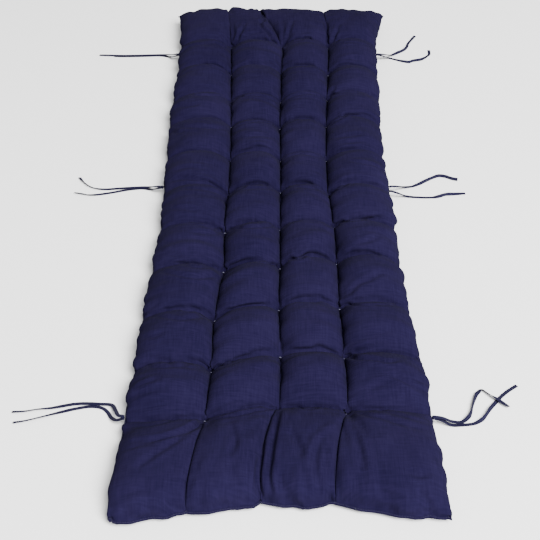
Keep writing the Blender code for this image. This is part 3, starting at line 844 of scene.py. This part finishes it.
def underHeight(s, t):
    p = min(int(s), panels - 1)
    f = s - p
    full = roundness(f, cover["underRoll"], cover["underRoot"])
    fromEnd = min(t, lastRow - t)
    if fromEnd < 1.0:
        full *= roundness(fromEnd / 2.0, cover["underEnd"], cover["underRoot"])
    seam = seamHeight(t) - welt["thickness"]
    valley = cover["underTuft"] - cover["underRise"] * (1 - (2 * (t % 1) - 1) ** 2)
    ends = [seam if line in (0, panels) else valley for line in (p, p + 1)]
    if fromEnd < 1.0:
        ends = [e + (seam - e) * (1.0 - fromEnd) ** 2 for e in ends]
    low = ends[0] + (ends[1] - ends[0]) * f * f * (3 - 2 * f)
    return low * max(0.0, 1.0 - full / cover["underFlatFrom"])


def closeCover(fine):
    wide = addLip(fine, welt["rings"])
    wideRows, wideCols = wide.shape[:2]
    ring = len(welt["rings"])
    rowMap = [0] + [ring + 2 * j for j in range(rows)] + [wideRows - 1]
    colMap = [0] + [ring + 2 * i for i in range(cols)] + [wideCols - 1]
    under = wide[np.ix_(rowMap, colMap)].copy()
    under[..., 2] -= welt["thickness"]
    for j in range(1, rows - 1):
        for i in range(1, cols - 1):
            x, y = netPlace(across[i], along[j])
            under[j + 1, i + 1] = (x, y, underHeight(across[i], along[j]))
    lowRows, lowCols = under.shape[:2]
    first = wideRows * wideCols
    faces = gridFaces(wideRows, wideCols) + gridFaces(lowRows, lowCols, first, flip=True)
    sides = ((0, colMap, 0), (1, colMap, wideRows - 1), (2, rowMap, 0), (3, rowMap, wideCols - 1))
    for side, line, fixed in sides:
        for n in range(len(line) - 1):
            span = range(line[n], line[n + 1] + 1)
            if side < 2:
                topEdge = [fixed * wideCols + m for m in span]
                row = 0 if fixed == 0 else lowRows - 1
                lowEdge = [first + row * lowCols + n + 1, first + row * lowCols + n]
            else:
                topEdge = [m * wideCols + fixed for m in span]
                col = 0 if fixed == 0 else lowCols - 1
                lowEdge = [first + (n + 1) * lowCols + col, first + n * lowCols + col]
            face = topEdge + lowEdge
            faces.append(face[::-1] if side in (1, 2) else face)
    points = np.concatenate([wide.reshape(-1, 3), under.reshape(-1, 3)])
    return points, faces, wide, under


points, faces, wide, under = closeCover(fine)
cushion = meshObject("cushionCover", points, faces)
report("cushion closed, %d faces" % len(faces))
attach(cushion, "root")
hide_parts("cushion")


def stitchAlong(points, faces, line, upward):
    up = np.array((0.0, 0.0, upward))
    for start, end, k in stitchSpans(line, welt, 1.0):
        wide = unit(np.cross(end - start, up))
        addStitch(points, faces, start, end, wide, up, welt["threadWidth"], welt["stitchLift"])


def makeWeltStitches():
    points, faces = [], []
    k = len(welt["rings"]) - 1 - welt["stitchRing"]
    for line in (wide[:, k], wide[:, -1 - k], wide[k], wide[-1 - k]):
        inner = line[k:-k]
        stitchAlong(points, faces, inner, 1.0)
        stitchAlong(points, faces, inner - [0.0, 0.0, welt["thickness"]], -1.0)
    return meshObject("weltStitches", points, faces)


# tuft stitches: short bars of thread, through the cushion at each tuft
tuftStitch = {"length": 0.0050, "shortest": 0.8, "threads": 3, "spread": 0.0006, "threadWidth": 0.0009,
              "lift": 0.0016, "turn": 0.5}


def makeTuftStitches():
    points, faces = [], []
    for row in range(1, lastRow):
        j = along.index(row)
        for column in range(1, panels):
            i = column * cover["panelSteps"]
            turn = dice.uniform(-tuftStitch["turn"], tuftStitch["turn"])
            along3 = np.array((math.cos(turn), math.sin(turn), 0.0))
            wide3 = np.array((-math.sin(turn), math.cos(turn), 0.0))
            for place, up in ((fine[2 * j, 2 * i], 1.0), (under[j + 1, i + 1], -1.0)):
                raised = np.array((0.0, 0.0, up))
                for n in range(tuftStitch["threads"]):
                    off = (n - (tuftStitch["threads"] - 1) / 2.0) * tuftStitch["spread"]
                    middle = place + wide3 * off + raised * tuftStitch["lift"] * 0.5
                    half = along3 * tuftStitch["length"] / 2.0 * dice.uniform(tuftStitch["shortest"], 1.0)
                    addStitch(points, faces, middle - half, middle + half, wide3, raised,
                              tuftStitch["threadWidth"], tuftStitch["lift"] * 0.5)
    return meshObject("tuftStitches", points, faces)


threads = [makeWeltStitches(), makeTuftStitches()]
for obj in threads:
    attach(obj, "root")

# materials: colours are linear, and thread, slub, bump and crumple are sizes in metres
plainThread = {"roughness": 0.6, "gloss": 0.20, "sheen": 0.1, "patch": 60.0, "thread": 0.0004,
               "slub": 0.001, "bump": 0.0001, "crumple": 0.0001}
looks = {
    "navyCloth": {"dark": (0.0053, 0.0040, 0.0161), "light": (0.0102, 0.0077, 0.0271),
                  "roughness": 0.9, "gloss": 0.0, "sheen": 0.006, "patch": 7.0, "thread": 0.0008,
                  "slub": 0.004, "bump": 0.00035, "crumple": 0.0012},
    "navyTape": {"dark": (0.004, 0.0032, 0.015), "light": (0.008, 0.0068, 0.026),
                 "roughness": 0.8, "gloss": 0.08, "sheen": 0.01, "patch": 25.0, "thread": 0.0006,
                 "slub": 0.002, "bump": 0.00025, "crumple": 0.0004},
    "navyThread": {"dark": (0.010, 0.009, 0.028), "light": (0.020, 0.018, 0.046), **plainThread},
    "paleThread": {"dark": (0.07, 0.07, 0.11), "light": (0.13, 0.13, 0.18), **plainThread},
}
# the weave that all of them share: thread waves, long slubs, patches, crumples and fuzz
weave = {"sheenRoughness": 0.5, "wavePeriod": 0.314, "waveDistortion": 0.6, "waveDetail": 2.0,
         "slubStretch": 14.0, "slubScale": 0.12, "slubShare": 0.35, "patchShare": 0.30,
         "rampFrom": 0.36, "rampTo": 0.66, "crumpleStretch": (1.0, 2.2, 1.0), "crumpleScale": 34.0,
         "crumpleStrength": 0.6, "fuzzScale": 600.0, "weaveStrength": 0.5}


def plainMaterial(name, inputs):
    mat = bpy.data.materials.new(name)
    mat.use_nodes = True
    for socket, value in inputs.items():
        mat.node_tree.nodes["Principled BSDF"].inputs[socket].default_value = value
    return mat


def clothMaterial(name):
    look = looks[name]
    mat = plainMaterial(name, {"Roughness": look["roughness"], "Specular IOR Level": look["gloss"],
                               "Sheen Weight": look["sheen"], "Sheen Roughness": weave["sheenRoughness"]})
    nodes, links = mat.node_tree.nodes, mat.node_tree.links
    shader = nodes["Principled BSDF"]
    coords = nodes.new("ShaderNodeTexCoord").outputs["Object"]

    def addNode(kind, inputs):
        node = nodes.new("ShaderNode" + kind)
        for socket, value in inputs.items():
            if isinstance(value, bpy.types.NodeSocket):
                links.new(value, node.inputs[socket])
            else:
                node.inputs[socket].default_value = value
        return node

    def noiseOf(scale, detail, stretch=(1.0, 1.0, 1.0)):
        place = addNode("Mapping", {"Vector": coords, "Scale": stretch}).outputs["Vector"]
        return addNode("TexNoise", {"Vector": place, "Scale": scale, "Detail": detail}).outputs["Fac"]

    def threadsAlong(direction):
        wave = addNode("TexWave", {"Vector": coords, "Scale": weave["wavePeriod"] / look["thread"],
                                   "Distortion": weave["waveDistortion"],
                                   "Detail Scale": weave["waveDetail"]})
        wave.bands_direction = direction
        return wave.outputs["Fac"]

    def combine(operation, a, b):
        node = addNode("Math", {0: a, 1: b})
        node.operation = operation
        return node.outputs[0]

    def bumpOf(height, distance, strength, under=None):
        node = addNode("Bump", {"Height": height, "Distance": distance, "Strength": strength})
        if under is not None:
            links.new(under, node.inputs["Normal"])
        return node.outputs["Normal"]

    # uneven threads both ways, and faded patches
    slubs = [noiseOf(weave["slubScale"] / look["slub"], 3.0, stretch)
             for stretch in ((1.0, weave["slubStretch"], 1.0), (weave["slubStretch"], 1.0, 1.0))]
    tone = combine("ADD", combine("MULTIPLY", combine("ADD", *slubs), weave["slubShare"]),
                   combine("MULTIPLY", noiseOf(look["patch"], 4.0), weave["patchShare"]))
    ramp = nodes.new("ShaderNodeValToRGB")
    dark, light = ramp.color_ramp.elements
    dark.position, light.position = weave["rampFrom"], weave["rampTo"]
    dark.color, light.color = (*look["dark"], 1.0), (*look["light"], 1.0)
    links.new(tone, ramp.inputs["Fac"])
    links.new(ramp.outputs["Color"], shader.inputs["Base Color"])
    crumple = bumpOf(noiseOf(weave["crumpleScale"], 4.0, weave["crumpleStretch"]), look["crumple"],
                     weave["crumpleStrength"])
    woven = combine("MAXIMUM", threadsAlong("X"), threadsAlong("Y"))
    woven = combine("ADD", woven, noiseOf(weave["fuzzScale"], 2.0))
    links.new(bumpOf(woven, look["bump"], weave["weaveStrength"], crumple), shader.inputs["Normal"])
    return mat


materials = {name: clothMaterial(name) for name in looks}
cushion.data.materials.append(materials["navyCloth"])
threads[0].data.materials.append(materials["navyThread"])
threads[1].data.materials.append(materials["paleThread"])
for obj, cloth in ties:
    obj.data.materials.append(materials["navyTape"])
    obj.data.materials.append(materials["navyThread"])
    which = [0] * cloth + [1] * (len(obj.data.polygons) - cloth)
    obj.data.polygons.foreach_set("material_index", which)
report("materials")

# stage: a pale floor, the light of the room, and a soft lamp
stage = {"halfSide": 25.0, "floor": (0.86, 0.86, 0.86), "floorRoughness": 0.9, "roomLight": 0.72}
lamp = {"place": (3.4, -5.2, 6.3), "size": 4.6, "power": 3200}


def addStage():
    half = stage["halfSide"]
    corners = [(-half, -half, 0), (half, -half, 0), (half, half, 0), (-half, half, 0)]
    floor = meshObject("floor", corners, [(0, 1, 2, 3)], smooth=False)
    floor.data.materials.append(plainMaterial("paleFloor", {
        "Base Color": (*stage["floor"], 1.0), "Roughness": stage["floorRoughness"]}))
    world = bpy.data.worlds.new("studio")
    bpy.context.scene.world = world
    world.use_nodes = True
    background = world.node_tree.nodes["Background"]
    background.inputs["Color"].default_value = (1.0, 1.0, 1.0, 1.0)
    background.inputs["Strength"].default_value = stage["roomLight"]
    data = bpy.data.lights.new("softLamp", "AREA")
    data.size = lamp["size"]
    data.energy = lamp["power"]
    obj = bpy.data.objects.new("softLamp", data)
    obj.location = lamp["place"]
    obj.rotation_mode = "QUATERNION"
    obj.rotation_quaternion = Vector(lamp["place"]).to_track_quat("Z", "Y")
    bpy.context.scene.collection.objects.link(obj)


addStage()
